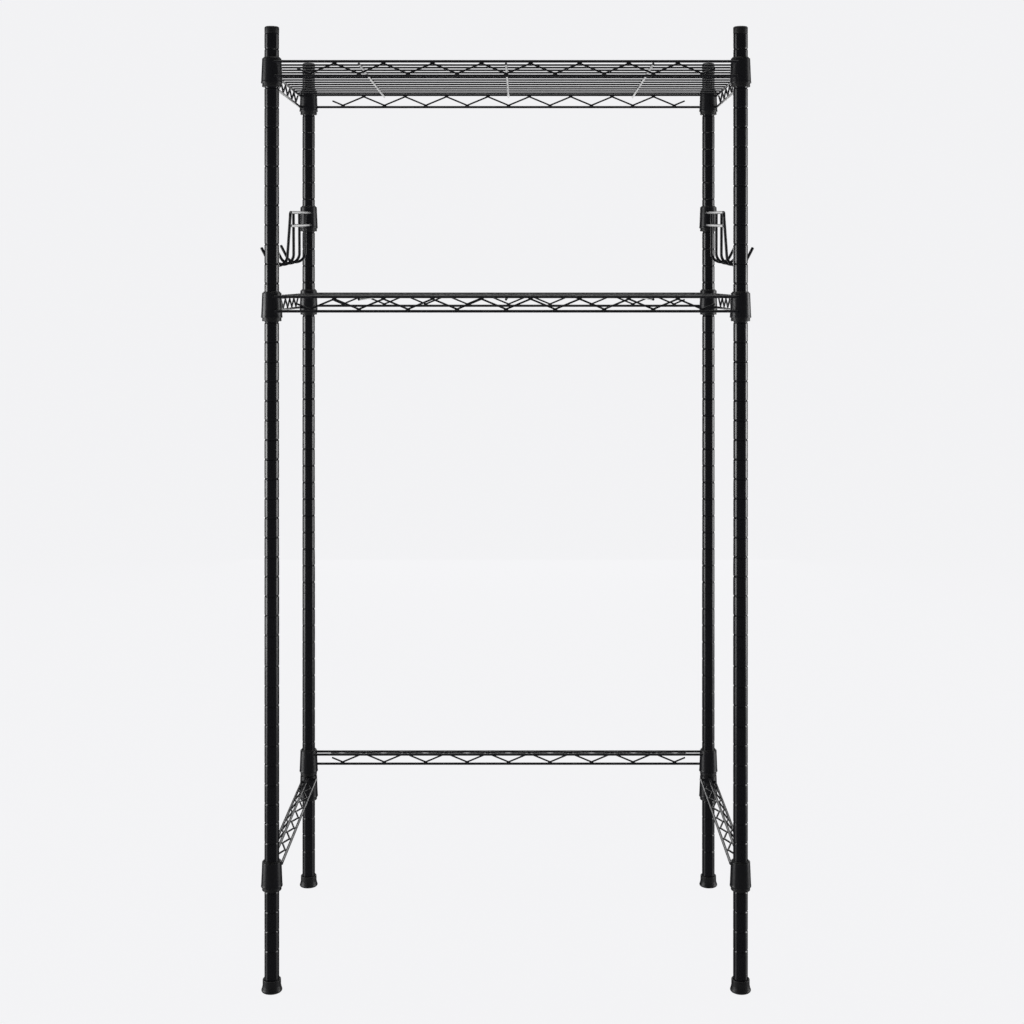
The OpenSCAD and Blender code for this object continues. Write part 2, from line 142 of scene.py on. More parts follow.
def weldBead(bm, place, halfSize, along):
    # a small flattened bead where two wires are welded and coated over
    along = Vector(along).normalized()
    made = bmesh.ops.create_icosphere(bm, subdivisions=2, radius=1)["verts"]
    turn = along.to_track_quat("X", "Z").to_matrix().to_4x4()
    size = Matrix.Diagonal([half * mm for half in halfSize] + [1])
    bmesh.ops.transform(bm, matrix=Matrix.Translation(Vector(place) * mm) @ turn @ size, verts=made)


def lathe(bm, profile, centre, steps, start=0.0, sweep=2 * math.pi):
    # turns a closed (radius, height) outline about an upright axis, all round or part of the way
    whole = sweep > 2 * math.pi - 0.001
    count = steps if whole else steps + 1
    rings = []
    for k in range(count):
        angle = start + sweep * k / steps
        ring = []
        for radius, height in profile:
            x = centre[0] + radius * math.cos(angle)
            y = centre[1] + radius * math.sin(angle)
            ring.append(bm.verts.new(Vector((x, y, centre[2] + height)) * mm))
        rings.append(ring)
    size = len(profile)
    for k in range(steps):
        low = rings[k]
        high = rings[(k + 1) % count]
        for j in range(size):
            bm.faces.new((low[j], low[(j + 1) % size], high[(j + 1) % size], high[j]))
    if not whole:
        bm.faces.new(rings[0])
        bm.faces.new(rings[-1][::-1])


def roundedOutline(points, radius, steps):
    # rounds the corners of a closed (radius, height) outline
    out = []
    count = len(points)
    for i in range(count):
        here = Vector(points[i])
        before = Vector(points[i - 1]) - here
        after = Vector(points[(i + 1) % count]) - here
        reach = min(radius, before.length * 0.45, after.length * 0.45)
        a = here + before.normalized() * reach
        b = here + after.normalized() * reach
        for k in range(steps + 1):
            t = k / steps
            out.append(tuple((1 - t) ** 2 * a + 2 * t * (1 - t) * here + t * t * b))
    return out


# materials

def newGroup(name, inputs, outputs):
    group = bpy.data.node_groups.new(name, "ShaderNodeTree")
    for label, kind, value in inputs:
        socket = group.interface.new_socket(name=label, in_out="INPUT", socket_type=kind)
        socket.default_value = value
    for label, kind in outputs:
        group.interface.new_socket(name=label, in_out="OUTPUT", socket_type=kind)
    return group, group.nodes.new("NodeGroupInput"), group.nodes.new("NodeGroupOutput")


def mathNode(tree, operation, first, second, clamp=False):
    node = tree.nodes.new("ShaderNodeMath")
    node.operation = operation
    node.use_clamp = clamp
    for socket, value in zip(node.inputs, (first, second)):
        if isinstance(value, (int, float)):
            socket.default_value = value
        else:
            tree.links.new(value, socket)
    return node.outputs[0]


def rangeNode(tree, value, low, high, newLow, newHigh):
    node = tree.nodes.new("ShaderNodeMapRange")
    tree.links.new(value, node.inputs["Value"])
    limits = {"From Min": low, "From Max": high, "To Min": newLow, "To Max": newHigh}
    for label, amount in limits.items():
        if isinstance(amount, (int, float)):
            node.inputs[label].default_value = amount
        else:
            tree.links.new(amount, node.inputs[label])
    return node.outputs["Result"]


def noiseNode(tree, vector, scale, detail, rough):
    node = tree.nodes.new("ShaderNodeTexNoise")
    tree.links.new(vector, node.inputs["Vector"])
    if isinstance(scale, (int, float)):
        node.inputs["Scale"].default_value = scale
    else:
        tree.links.new(scale, node.inputs["Scale"])
    node.inputs["Detail"].default_value = detail
    node.inputs["Roughness"].default_value = rough
    return node.outputs["Fac"]


def coatFilmGroup():
    # baked-on coat: fine orange peel, slow changes of gloss, rare raised specks
    group, into, out = newGroup(
        "coatFilm",
        [
            ("Peel Size", "NodeSocketFloat", 900.0),
            ("Gloss Low", "NodeSocketFloat", 0.24),
            ("Gloss High", "NodeSocketFloat", 0.38),
        ],
        [("Roughness", "NodeSocketFloat"), ("Height", "NodeSocketFloat")],
    )
    place = group.nodes.new("ShaderNodeTexCoord").outputs["Object"]
    peel = noiseNode(group, place, into.outputs["Peel Size"], 2.0, 0.45)
    slow = noiseNode(group, place, 26.0, 4.0, 0.6)
    rubbed = noiseNode(group, place, 210.0, 5.0, 0.65)
    speck = group.nodes.new("ShaderNodeTexVoronoi")
    speck.inputs["Scale"].default_value = 330.0
    group.links.new(place, speck.inputs["Vector"])
    speckMask = rangeNode(group, speck.outputs["Distance"], 0.045, 0.09, 1.0, 0.0)
    rare = rangeNode(group, noiseNode(group, place, 60.0, 1.0, 0.5), 0.6, 0.68, 0.0, 1.0)
    speckMask = mathNode(group, "MULTIPLY", speckMask, rare)
    slowPart = mathNode(group, "MULTIPLY", slow, 0.6)
    rubbedPart = mathNode(group, "MULTIPLY", rubbed, 0.4)
    mixed = mathNode(group, "ADD", slowPart, rubbedPart)
    gloss = rangeNode(group, mixed, 0.3, 0.7, into.outputs["Gloss Low"], into.outputs["Gloss High"])
    height = mathNode(group, "ADD", peel, mathNode(group, "MULTIPLY", speckMask, 0.8))
    group.links.new(gloss, out.inputs["Roughness"])
    group.links.new(height, out.inputs["Height"])
    return group


def settledDustGroup():
    # a breath of dust on what faces up
    group, into, out = newGroup(
        "settledDust",
        [("Amount", "NodeSocketFloat", 0.2)],
        [("Mask", "NodeSocketFloat")],
    )
    place = group.nodes.new("ShaderNodeTexCoord").outputs["Object"]
    facing = group.nodes.new("ShaderNodeNewGeometry")
    split = group.nodes.new("ShaderNodeSeparateXYZ")
    group.links.new(facing.outputs["Normal"], split.inputs["Vector"])
    upward = rangeNode(group, split.outputs["Z"], 0.35, 1.0, 0.0, 1.0)
    patchy = rangeNode(group, noiseNode(group, place, 140.0, 6.0, 0.7), 0.35, 0.75, 0.2, 1.0)
    lying = mathNode(group, "MULTIPLY", upward, patchy)
    mask = mathNode(group, "MULTIPLY", lying, into.outputs["Amount"])
    group.links.new(mask, out.inputs["Mask"])
    return group


def edgeWearGroup():
    # the coat is thinner and paler on sharp edges
    group, into, out = newGroup(
        "edgeWear",
        [("Amount", "NodeSocketFloat", 0.5)],
        [("Mask", "NodeSocketFloat")],
    )
    place = group.nodes.new("ShaderNodeTexCoord").outputs["Object"]
    facing = group.nodes.new("ShaderNodeNewGeometry")
    sharp = rangeNode(group, facing.outputs["Pointiness"], 0.52, 0.62, 0.0, 1.0)
    broken = rangeNode(group, noiseNode(group, place, 420.0, 4.0, 0.7), 0.45, 0.65, 0.0, 1.0)
    worn = mathNode(group, "MULTIPLY", sharp, broken)
    mask = mathNode(group, "MULTIPLY", worn, into.outputs["Amount"])
    group.links.new(mask, out.inputs["Mask"])
    return group


coatFilm = coatFilmGroup()
settledDust = settledDustGroup()
edgeWear = edgeWearGroup()


def placeGroup(tree, group, values):
    node = tree.nodes.new("ShaderNodeGroup")
    node.node_tree = group
    for label, value in values.items():
        node.inputs[label].default_value = value
    return node


def finishMaterial(name, look):
    # a coat, moulding or plate: colour from wear and dust, gloss from film and dust, relief from the film
    material = bpy.data.materials.new(name)
    material.use_nodes = True
    tree = material.node_tree
    shader = tree.nodes["Principled BSDF"]
    film = placeGroup(tree, coatFilm, {
        "Peel Size": look["peelSize"], "Gloss Low": look["glossLow"], "Gloss High": look["glossHigh"],
    })
    dust = placeGroup(tree, settledDust, {"Amount": look["dust"]})
    wear = placeGroup(tree, edgeWear, {"Amount": look["wear"]})
    tint = tree.nodes.new("ShaderNodeMix")
    tint.data_type = "RGBA"
    tint.inputs["A"].default_value = (*look["color"], 1)
    tint.inputs["B"].default_value = (*look["wornColor"], 1)
    tree.links.new(wear.outputs["Mask"], tint.inputs["Factor"])
    dusty = tree.nodes.new("ShaderNodeMix")
    dusty.data_type = "RGBA"
    dusty.inputs["B"].default_value = (*look["dustColor"], 1)
    tree.links.new(dust.outputs["Mask"], dusty.inputs["Factor"])
    tree.links.new(tint.outputs["Result"], dusty.inputs["A"])
    tree.links.new(dusty.outputs["Result"], shader.inputs["Base Color"])
    dulled = mathNode(tree, "MULTIPLY", dust.outputs["Mask"], 0.5)
    rough = mathNode(tree, "ADD", film.outputs["Roughness"], dulled, clamp=True)
    tree.links.new(rough, shader.inputs["Roughness"])
    bump = tree.nodes.new("ShaderNodeBump")
    bump.inputs["Strength"].default_value = look["relief"]
    bump.inputs["Distance"].default_value = look["reliefDepth"]
    tree.links.new(film.outputs["Height"], bump.inputs["Height"])
    tree.links.new(bump.outputs["Normal"], shader.inputs["Normal"])
    shader.inputs["Metallic"].default_value = look.get("metallic", 0.0)
    shader.inputs["IOR"].default_value = 1.5
    if look.get("coat"):
        shader.inputs["Coat Weight"].default_value = look["coat"]
        shader.inputs["Coat Roughness"].default_value = look["coatRoughness"]
    return material


postLook = dict(
    color=(0.0095, 0.0095, 0.0115), wornColor=(0.04, 0.04, 0.044), dustColor=(0.16, 0.16, 0.165),
    peelSize=620.0, glossLow=0.15, glossHigh=0.24, dust=0.1, wear=0.4,
    relief=0.14, reliefDepth=0.0002, coat=0.25, coatRoughness=0.1,
)
wireLook = dict(
    color=(0.010, 0.010, 0.012), wornColor=(0.05, 0.05, 0.055), dustColor=(0.2, 0.2, 0.205),
    peelSize=900.0, glossLow=0.24, glossHigh=0.38, dust=0.18, wear=0.4,
    relief=0.2, reliefDepth=0.0002, coat=0.2, coatRoughness=0.16,
)
collarLook = dict(
    color=(0.011, 0.011, 0.013), wornColor=(0.06, 0.06, 0.065), dustColor=(0.18, 0.18, 0.185),
    peelSize=700.0, glossLow=0.26, glossHigh=0.4, dust=0.15, wear=0.6,
    relief=0.26, reliefDepth=0.0003, coat=0.15, coatRoughness=0.2,
)
mouldLook = dict(
    color=(0.012, 0.012, 0.013), wornColor=(0.05, 0.05, 0.052), dustColor=(0.2, 0.2, 0.2),
    peelSize=1600.0, glossLow=0.36, glossHigh=0.52, dust=0.2, wear=0.4,
    relief=0.3, reliefDepth=0.00015,
)
plateLook = dict(
    color=(0.55, 0.56, 0.58), wornColor=(0.7, 0.7, 0.7), dustColor=(0.3, 0.3, 0.3),
    peelSize=1500.0, glossLow=0.28, glossHigh=0.45, dust=0.05, wear=0.5,
    relief=0.15, reliefDepth=0.0001, metallic=1.0,
)
postCoat = finishMaterial("postCoat", postLook)
wireCoat = finishMaterial("wireCoat", wireLook)
collarCoat = finishMaterial("collarCoat", collarLook)
mouldedBlack = finishMaterial("mouldedBlack", mouldLook)
zincPlate = finishMaterial("zincPlate", plateLook)
print("materials made")


# where things are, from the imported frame

def boxOf(node):
    low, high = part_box(node)
    return [v / mm for v in low], [v / mm for v in high]


def middle(node):
    low, high = boxOf(node)
    return [(a + b) / 2 for a, b in zip(low, high)]


corners = ("front_left", "front_right", "back_left", "back_right")
postAt = {c: middle("upper_post_" + c)[:2] for c in corners}
spanX = postAt["front_right"][0]
spanY = postAt["back_right"][1]
levelOf = {
    "top_shelf": middle("top_shelf_collars")[2],
    "mid_shelf": middle("mid_shelf_collars")[2],
    "rack": middle("left_rack_collar")[2],
    "back_brace": middle("back_brace_collars")[2],
    "side_brace": middle("left_brace_collars")[2],
}

# posts

post = dict(
    radius=9.5, wall=1.2, grooveWide=2.7, grooveDeep=0.72, pitch=25.4,
    ribRise=3.0, clearOfEnd=14.0, clearOfFoot=44.0, endRound=0.6, margin=0.5,
)
# half of a groove's section: share of its half width, share of its depth
grooveShape = ((1, 0), (0.88, 0.1), (0.5, 0.58), (0.14, 1), (0, 1.04))


def grooveHeights(low, high, known):
    # every groove between two heights, counted from one whose height is known
    heights = [known + k * post["pitch"] for k in range(-80, 81)]
    return [z for z in heights if low < z < high]


def postOutline(low, high, grooves):
    r = post["radius"]
    inner = r - post["wall"]
    half = post["grooveWide"] / 2
    e = post["endRound"]
    m = post["margin"]
    out = [(inner, low), (r - e, low), (r - e * 0.3, low + e * 0.3), (r, low + e), (r, low + e + m)]
    for z in grooves:
        out.append((r, z - half - m))
        across = [(-share, deep) for share, deep in grooveShape] + list(grooveShape[-2::-1])
        for share, deep in across:
            out.append((r - post["grooveDeep"] * deep, z + half * share))
        out.append((r, z + half + m))
    out += [(r, high - e - m), (r, high - e), (r - e * 0.3, high - e * 0.3)]
    out += [(r - e, high), (inner, high)]
    return out


shelfGroove = levelOf["top_shelf"] + post["ribRise"]
sideGroove = levelOf["side_brace"] + post["ribRise"]
backGroove = levelOf["back_brace"] + post["ribRise"]
for corner in corners:
    x, y = postAt[corner]
    low, high = boxOf("upper_post_" + corner)
    bm = bmesh.new()
    zs = grooveHeights(low[2] + post["clearOfEnd"], high[2] - post["clearOfEnd"], shelfGroove)
    lathe(bm, postOutline(low[2], high[2], zs), (x, y, 0), sides["post"])
    addObject("upperPost_" + corner, bm, postCoat, "frame", ["upper_post_" + corner])
    low, high = boxOf("lower_post_" + corner)
    bm = bmesh.new()
    zs = grooveHeights(post["clearOfFoot"], sideGroove + 1, sideGroove)
    zs += grooveHeights(backGroove - 1, high[2] - post["clearOfEnd"], backGroove)
    lathe(bm, postOutline(low[2], high[2], zs), (x, y, 0), sides["post"])
    addObject("lowerPost_" + corner, bm, postCoat, "frame", ["lower_post_" + corner])
print("posts made")

# post caps: a shallow moulded plug with a soft crown and a shadow line under its rim

cap = dict(rim=9.5, plug=8.25, seam=0.35, lift=0.05, crown=0.9, soft=1.1, edge=0.45)
lowCap, highCap = boxOf("post_caps")
capBase = boxOf("upper_post_front_left")[1][2]
bm = bmesh.new()
for corner in corners:
    x, y = postAt[corner]
    outline = [
        (0.001, lowCap[2]), (cap["plug"], lowCap[2]), (cap["plug"], capBase + cap["lift"]),
        (cap["rim"] - cap["seam"], capBase + cap["lift"]), (cap["rim"] - cap["seam"], capBase + 0.6),
        (cap["rim"], capBase + 0.8), (cap["rim"], highCap[2] - cap["crown"] - 0.6),
        (cap["rim"] - cap["soft"], highCap[2] - 0.35), (cap["rim"] * 0.55, highCap[2] - 0.08),
        (0.001, highCap[2]),
    ]
    lathe(bm, roundedOutline(outline, cap["edge"], 3), (x, y, 0), sides["cap"])
addObject("postCaps", bm, mouldedBlack, "frame", ["post_caps"])

# collars and sleeves

collar = dict(height=32.5, wall=1.4, gap=0.3, lip=0.2, lipTall=2.2, lipFade=0.7, edge=0.3, inside=0.06)
sleeve = dict(
    skirt=4.5, ears=1.5, inner=9.55, thick=3.0, thin=1.3, split=6.0,
    ribRoot=0.9, ribTip=0.6, ribDeep=0.5, lowEdge=0.35, highEdge=0.3,
)
sleeveLow = -collar["height"] / 2 - sleeve["skirt"]
sleeveHigh = collar["height"] / 2 + sleeve["ears"]


def sleeveRadius(z):
    share = (z - sleeveLow) / (sleeveHigh - sleeveLow)
    return sleeve["inner"] + sleeve["thick"] + (sleeve["thin"] - sleeve["thick"]) * share


def collarRadius(z):
    return sleeveRadius(z) + collar["gap"] + collar["wall"]


def collarOutline():
    # a stamped cone with a slightly wider lip round its foot
    low = -collar["height"] / 2
    high = collar["height"] / 2
    bore = collar["gap"]
    lipTop = low + collar["lipTall"]
    lipEnd = lipTop + collar["lipFade"]
    points = [
        (sleeveRadius(low) + bore, low), (collarRadius(low) - 0.3, low),
        (collarRadius(low) - collar["inside"], low + 0.5), (collarRadius(lipTop) - collar["inside"], lipTop),
        (collarRadius(lipEnd) - collar["lip"], lipEnd),
        (collarRadius(high) - collar["lip"] * 0.5, high - 0.4),
        (collarRadius(high) - 0.4, high), (sleeveRadius(high) + bore, high),
    ]
    return roundedOutline(points, collar["edge"], 4)


def sleeveOutline():
    # a tapered half shell with the rib that sits in a groove
    mid = sleeve["inner"]
    lowEdge = sleeve["lowEdge"]
    highEdge = sleeve["highEdge"]
    rib = post["ribRise"]
    root = sleeve["ribRoot"]
    tip = sleeve["ribTip"]
    deep = sleeve["ribDeep"]
    return [
        (mid, sleeveLow), (sleeveRadius(sleeveLow) - lowEdge, sleeveLow),
        (sleeveRadius(sleeveLow + lowEdge), sleeveLow + lowEdge),
        (sleeveRadius(sleeveHigh - highEdge), sleeveHigh - highEdge),
        (sleeveRadius(sleeveHigh) - highEdge, sleeveHigh), (mid, sleeveHigh),
        (mid, rib + root), (mid - deep, rib + tip), (mid - deep, rib - tip), (mid, rib - root),
    ]


def makeCollars(name, level, where, body, replaced):
    bm = bmesh.new()
    for corner in where:
        x, y = postAt[corner]
        lathe(bm, collarOutline(), (x, y, level), sides["collar"])
    addObject(name, bm, collarCoat, body, replaced)


def makeSleeves(name, level, where, replaced):
    bm = bmesh.new()
    gap = math.radians(sleeve["split"])
    for corner in where:
        x, y = postAt[corner]
        for half in (0, math.pi):
            start = half + gap / 2
            lathe(bm, sleeveOutline(), (x, y, level), sides["halfSleeve"], start, math.pi - gap)
    addObject(name, bm, mouldedBlack, "frame", replaced)


backCorners = ("back_left", "back_right")
makeSleeves("topShelfSleeves", levelOf["top_shelf"], corners, ["top_shelf_sleeves"])
makeSleeves("midShelfSleeves", levelOf["mid_shelf"], corners, ["mid_shelf_sleeves"])
makeSleeves("rackSleeves", levelOf["rack"], backCorners, ["hook_rack_sleeves"])
makeSleeves("backBraceSleeves", levelOf["back_brace"], backCorners, ["back_brace_sleeves"])
makeSleeves("sideBraceSleeves", levelOf["side_brace"], corners, ["side_brace_sleeves"])
makeCollars("backBraceCollars", levelOf["back_brace"], backCorners, "frame", ["back_brace_collars"])
for side in ("left", "right"):
    where = ("front_" + side, "back_" + side)
    makeCollars(side + "BraceCollars", levelOf["side_brace"], where, "frame", [side + "_brace_collars"])
    racked = [side + "_rack_collar"]
    makeCollars(side + "RackCollar", levelOf["rack"], ("back_" + side,), side + "_rack", racked)
print("collars and sleeves made")

# wires of shelves and braces

wire = dict(
    frame=1.8, snake=1.25, mat=1.25, rib=1.6, out=12.0, endIn=5.0, rise=11.0, truss=18.6, sideDrop=3.5,
    sideTruss=17.0, longPitch=63.5, sidePitch=41.0, bend=3.0, weld=0.1, ribEvery=3, matPitch=26.0, sway=0.12,
)
frameReachX = spanX - wire["endIn"]
frameReachY = spanY - wire["endIn"]
snakeOff = wire["frame"] + wire["snake"] - wire["weld"]


def straightWire(bm, start, stop, radius, domed=False):
    sweepWire(bm, [start, stop], radius, sides["edgeWire"], domed)


def snakePoints(low, high, pitch, halfLen, tail):
    # corners of a zigzag along the first axis; its straight tails end part of the way up
    run = pitch / 2
    room = halfLen - collarRadius(-collar["height"] / 2) - tail * run - 1
    count = int(room // pitch)
    lean = math.atan2(high - low, run)
    for _ in range(6):
        lean = math.atan2(high - low + 2 * wire["bend"] * (1 / math.cos(lean) - 1), run)
    mid = (low + high) / 2
    rise = run / 2 * math.tan(lean)
    points = []
    for k in range(-2 * count, 2 * count + 1):
        points.append((k * run, mid + (rise if k % 2 else -rise)))
    ends = run * tail - (wire["bend"] * math.sin(lean) if tail == 1 else 0)
    climb = mid - rise + ends * math.tan(lean)
    first = (points[0][0] - ends, climb)
    last = (points[-1][0] + ends, climb)
    return [first] + points + [last]


def makeSnake(bm, flat, place):
    # flat: points of the zigzag; place: turns a flat point into a point of the rack
    corners3 = [Vector(place(u, v)) for u, v in flat]
    sweepWire(bm, roundedCorners(corners3, wire["bend"], 6), wire["snake"], sides["snake"], True)


def weldAtTurns(bm, flat, place, low, high, along):
    for u, v in flat[1:-1]:
        edge = high if v > (low + high) / 2 else low
        way = 1 if v > (low + high) / 2 else -1
        spot = Vector(place(u, edge + way * wire["snake"] * bead["turnOff"]))
        weldBead(bm, spot, bead["turn"], along)


def weldToCollar(bm, end, radius, along):
    # the puddle of weld that holds a wire against a collar
    size = (bead["collarLong"], radius * bead["collarWide"], radius * bead["collarTall"])
    weldBead(bm, end, size, along)


def weldedWire(bm, start, stop, inset=(0, 0, 0)):
    # a straight wire between two collars, with the weld that holds each end
    straightWire(bm, start, stop, wire["frame"])
    for end in (start, stop):
        weldToCollar(bm, Vector(end) + Vector(inset), wire["frame"], Vector(stop) - Vector(start))


def makeShelf(name, tidy, matCount):
    level = levelOf[name]
    makeCollars(tidy + "Collars", level, corners, name, [name + "_collars"])
    yLong = spanY + wire["out"]
    xSide = spanX + wire["out"]
    top = level + wire["rise"]
    under = top - wire["truss"]
    sideTop = top - wire["sideDrop"]
    sideUnder = sideTop - wire["sideTruss"]
    for word, y in (("front", -yLong), ("back", yLong)):
        bm = bmesh.new()
        for z in (top, under):
            weldedWire(bm, (-frameReachX, y, z), (frameReachX, y, z), (0, -math.copysign(1, y), 0))
        replaced = [f"{name}_{word}_wires"]
        addObject(tidy + word.title() + "Wires", bm, wireCoat, name, replaced)
    for word, x in (("left", -xSide), ("right", xSide)):
        bm = bmesh.new()
        for z in (sideTop, sideUnder):
            weldedWire(bm, (x, -frameReachY, z), (x, frameReachY, z), (-math.copysign(1, x), 0, 0))
        replaced = [f"{name}_{word}_wires"]
        addObject(tidy + word.title() + "Wires", bm, wireCoat, name, replaced)
    bm = bmesh.new()
    low = under + snakeOff
    high = top - snakeOff
    flat = snakePoints(low, high, wire["longPitch"], spanX, 0.5)
    for y in (-yLong, yLong):
        makeSnake(bm, flat, lambda u, v: (u, y, v))
        weldAtTurns(bm, flat, lambda u, v: (u, y, v), low, high, (1, 0, 0))
    low = sideUnder + snakeOff
    high = sideTop - snakeOff
    flat = snakePoints(low, high, wire["sidePitch"], spanY, 1)
    for x in (-xSide, xSide):
        makeSnake(bm, flat, lambda u, v: (x, u, v))
        weldAtTurns(bm, flat, lambda u, v: (x, u, v), low, high, (0, 1, 0))
    addObject(tidy + "Snakes", bm, wireCoat, name, [name + "_snakes"])
    # surface wires, a hair out of true as welded mats are
    low, high = boxOf(name + "_mat")
    pitch = (high[1] - low[1] - 2 * wire["mat"]) / (matCount - 1)
    zMat = (low[2] + high[2]) / 2
    bm = bmesh.new()
    for k in range(matCount):
        y = low[1] + wire["mat"] + k * pitch
        points = []
        steps = 24
        for j in range(steps + 1):
            x = low[0] + (high[0] - low[0]) * j / steps
            sway = random.uniform(-wire["sway"], wire["sway"]) if 0 < j < steps else 0
            points.append((x, y + sway, zMat))
        sweepWire(bm, points, wire["mat"], sides["mat"], True)
        for x in (-xSide, xSide):
            weldBead(bm, (x, y, zMat - wire["mat"] * bead["matOff"]), bead["matEnd"], (1, 0, 0))
    addObject(tidy + "Mat", bm, wireCoat, name, [name + "_mat"])
    bm = bmesh.new()
    lowRib, highRib = boxOf(name + "_ribs")
    zRib = (lowRib[2] + highRib[2]) / 2
    for k in (-1, 0, 1):
        x = k * wire["ribEvery"] * wire["longPitch"]
        straightWire(bm, (x, -yLong, zRib), (x, yLong, zRib), wire["rib"], True)
        for j in range(matCount):
            y = low[1] + wire["mat"] + j * pitch
            weldBead(bm, (x, y, zRib + wire["rib"] * bead["ribOff"]), bead["ribTop"], (0, 1, 0))
    addObject(tidy + "Ribs", bm, wireCoat, name, [name + "_ribs"])


matBox = boxOf("top_shelf_mat")
matCount = round((matBox[1][1] - matBox[0][1] - 2 * wire["mat"]) / wire["matPitch"]) + 1
makeShelf("top_shelf", "topShelf", matCount)
makeShelf("mid_shelf", "midShelf", matCount)
print("shelves made with", matCount, "surface wires each")

# back brace

brace = dict(backWide=15.0, ridge=3.0, sideOut=9.5, sag=3.0, widest=11.0)
level = levelOf["back_brace"]
top = level + wire["rise"]
under = top - wire["truss"]
rearY = spanY + brace["backWide"] / 2
foreY = spanY - brace["backWide"] / 2


def wireEndsAtCollars(offset, z, level):
    # how far a straight wire runs before it meets the round collars at its two ends
    radius = collarRadius(z - level)
    return math.sqrt(max(radius * radius - offset * offset, 1.0)) - 0.4


bm = bmesh.new()
for y, z in ((rearY, top), (rearY, under), (foreY, top)):
    stop = spanX - wireEndsAtCollars(y - spanY, z, level)
    weldedWire(bm, (-stop, y, z), (stop, y, z))
addObject("backBraceWires", bm, wireCoat, "frame", ["back_brace_wires"])
bm = bmesh.new()
flat = snakePoints(under + snakeOff, top - snakeOff, wire["longPitch"], spanX, 0.5)
makeSnake(bm, flat, lambda u, v: (u, rearY, v))
weldAtTurns(bm, flat, lambda u, v: (u, rearY, v), under + snakeOff, top - snakeOff, (1, 0, 0))
halfGap = brace["backWide"] / 2 - snakeOff
flat = snakePoints(-halfGap, halfGap, wire["longPitch"], spanX, 0.5)
makeSnake(bm, flat, lambda u, v: (u, spanY + v, top))
weldAtTurns(bm, flat, lambda u, v: (u, spanY + v, top), -halfGap, halfGap, (1, 0, 0))
addObject("backBraceSnakes", bm, wireCoat, "frame", ["back_brace_snakes"])

# side braces

level = levelOf["side_brace"]
top = level + wire["rise"]
for side, way in (("left", -1), ("right", 1)):
    xMid = way * spanX
    bm = bmesh.new()
    wiresAt = ((-wire["out"], top), (0, top + brace["ridge"]), (brace["sideOut"], top - brace["sag"]))
    for offset, z in wiresAt:
        stop = spanY - wireEndsAtCollars(min(abs(offset), brace["widest"]), z, level)
        x = xMid + way * offset
        weldedWire(bm, (x, -stop, z), (x, stop, z))
    addObject(side + "BraceWires", bm, wireCoat, "frame", [side + "_brace_wires"])
    bm = bmesh.new()
    for startX, drop in ((-wire["out"], 0), (brace["sideOut"], brace["sag"])):
        climb = brace["ridge"] + drop
        span = math.hypot(startX, climb)

        def place(u, v):
            share = v / span
            return (xMid + way * startX * (1 - share), u, top - drop + climb * share)
        flat = snakePoints(snakeOff, span - snakeOff, wire["sidePitch"], spanY, 1)
        makeSnake(bm, flat, place)
        weldAtTurns(bm, flat, place, snakeOff, span - snakeOff, (0, 1, 0))
    addObject(side + "BraceSnakes", bm, wireCoat, "frame", [side + "_brace_snakes"])
print("braces made")

# hook racks

rack = dict(
    radius=2.05, inward=4.5, rise=7.6, apart=18.6, reach=220.0, pitch=58.0, hooks=4,
    drop=74.0, bend=14.5, tip=18.8, lean=27.0, cornerBend=6.0, droop=2.2,
)


def rackPlace(way):
    # from rack coordinates (post axis line at the origin, hooks towards +X) to the rack in place
    turn = Matrix.Rotation(math.radians(rack["droop"]), 3, "X")

    def place(p):
        v = turn @ Vector(p)
        return Vector((way * (spanX - rack["inward"] + v.x), spanY + v.y, levelOf["rack"] + v.z))
    return place


def hookPoints(startX, y, topZ):
    # drop, round turn and leaning tip; the front hook's drop leans out to line up with the others
    x = 2 * rack["radius"] - wire["weld"]
    turnZ = rack["rise"] - rack["drop"] + rack["bend"]
    lean = math.radians(rack["lean"])
    points = [(startX, y, topZ), (x, y, turnZ)]
    steps = 16
    for k in range(1, steps + 1):
        angle = math.pi + (math.pi - lean) * k / steps
        forth = x + rack["bend"] * (1 + math.cos(angle))
        points.append((forth, y, turnZ + rack["bend"] * math.sin(angle)))
    last = points[-1]
    points.append((last[0] + rack["tip"] * math.sin(lean), y, last[2] + rack["tip"] * math.cos(lean)))
    return points


